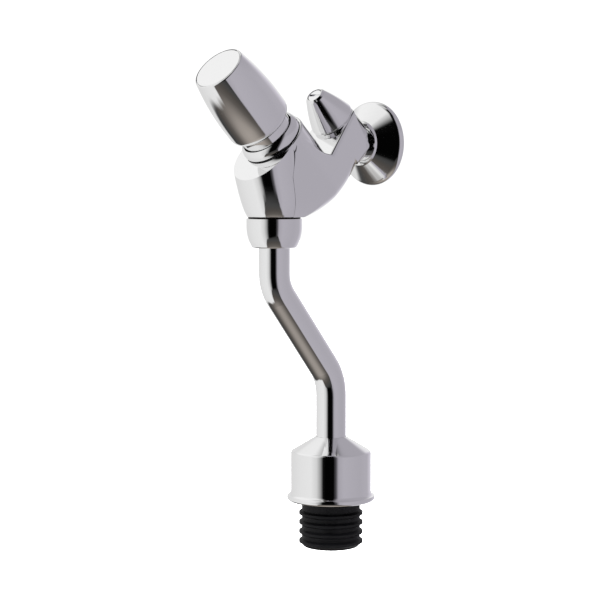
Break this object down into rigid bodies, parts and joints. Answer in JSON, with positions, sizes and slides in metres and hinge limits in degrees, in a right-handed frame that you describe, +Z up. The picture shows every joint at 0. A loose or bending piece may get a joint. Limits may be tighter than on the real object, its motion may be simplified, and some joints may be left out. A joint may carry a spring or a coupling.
{
  "type": "urinal flush valve",
  "caption": "Self-closing push-button flush valve for a urinal: slanted knob, flow regulator, wall rosette, offset flush pipe, bell cover and ribbed rubber connector.",
  "frame": {"origin": "on the inlet's axis, where it meets the wall plane (the back of the rosette)", "axes": "+Y into the wall along the inlet, +Z up; the plane x = 0 is the plane of symmetry, and the outlet pipe runs down from y = -83 mm"},
  "size_m": [0.0526, 0.1524, 0.2915],
  "materials": {
    "chrome": "polished chrome plate on brass",
    "rubber": "black rubber",
    "brass": "machined brass",
    "dark_brass": "unplated, darkened brass thread",
    "steel": "stainless steel",
    "plastic": "white acetal"
  },
  "bodies": {
    "valve": {"valve_body": "chrome", "outlet_nozzle": "dark_brass", "inlet_nipple": "chrome", "bonnet": "chrome", "bonnet_gasket": "rubber", "cartridge_housing": "brass", "cartridge_o_rings": "rubber", "stem_o_ring": "rubber", "valve_seat": "brass", "spring_washer": "steel", "regulator_cap": "chrome", "regulator_insert": "brass", "wall_rosette": "chrome", "outlet_nut": "chrome", "outlet_gasket": "rubber", "pipe_slip_ring": "plastic", "flush_pipe": "chrome", "rubber_connector": "rubber"},
    "button": {"push_knob": "chrome", "knob_top_disc": "chrome", "knob_screw": "steel", "spindle": "brass", "piston": "plastic", "piston_lip_seal": "rubber", "valve_washer": "rubber", "washer_retainer": "brass", "return_spring": "steel"},
    "adjuster": {"regulator_spindle": "chrome", "regulator_o_ring": "rubber", "regulator_circlip": "steel"},
    "plug": {"regulator_plug": "brass", "plug_washer": "rubber"},
    "bell": {"bell_cover": "chrome"}
  },
  "joints": [
    {"name": "knob_press", "type": "slide", "parent": "valve", "child": "button", "axis": [0, 0.7314, -0.682], "range_m": [0, 0.0045], "stiffness_N_per_m": 1000, "springref_m": -0.012, "deforming": ["return_spring"]},
    {"name": "regulator_turn", "type": "hinge", "parent": "valve", "child": "adjuster", "pos_m": [0, -0.05402, 0.03108], "axis": [0, 0.7314, -0.682], "range_deg": [0, 810]},
    {"name": "plug_travel", "type": "slide", "parent": "valve", "child": "plug", "axis": [0, 0.7314, -0.682], "range_m": [0, 0.0045]},
    {"name": "bell_slide", "type": "slide", "parent": "valve", "child": "bell", "axis": [0, 0, 1], "range_m": [0, 0.02]}
  ],
  "couplings": [
    {"joint": "regulator_turn", "follows": "plug_travel", "rad_per_m": 3141.6}
  ]
}
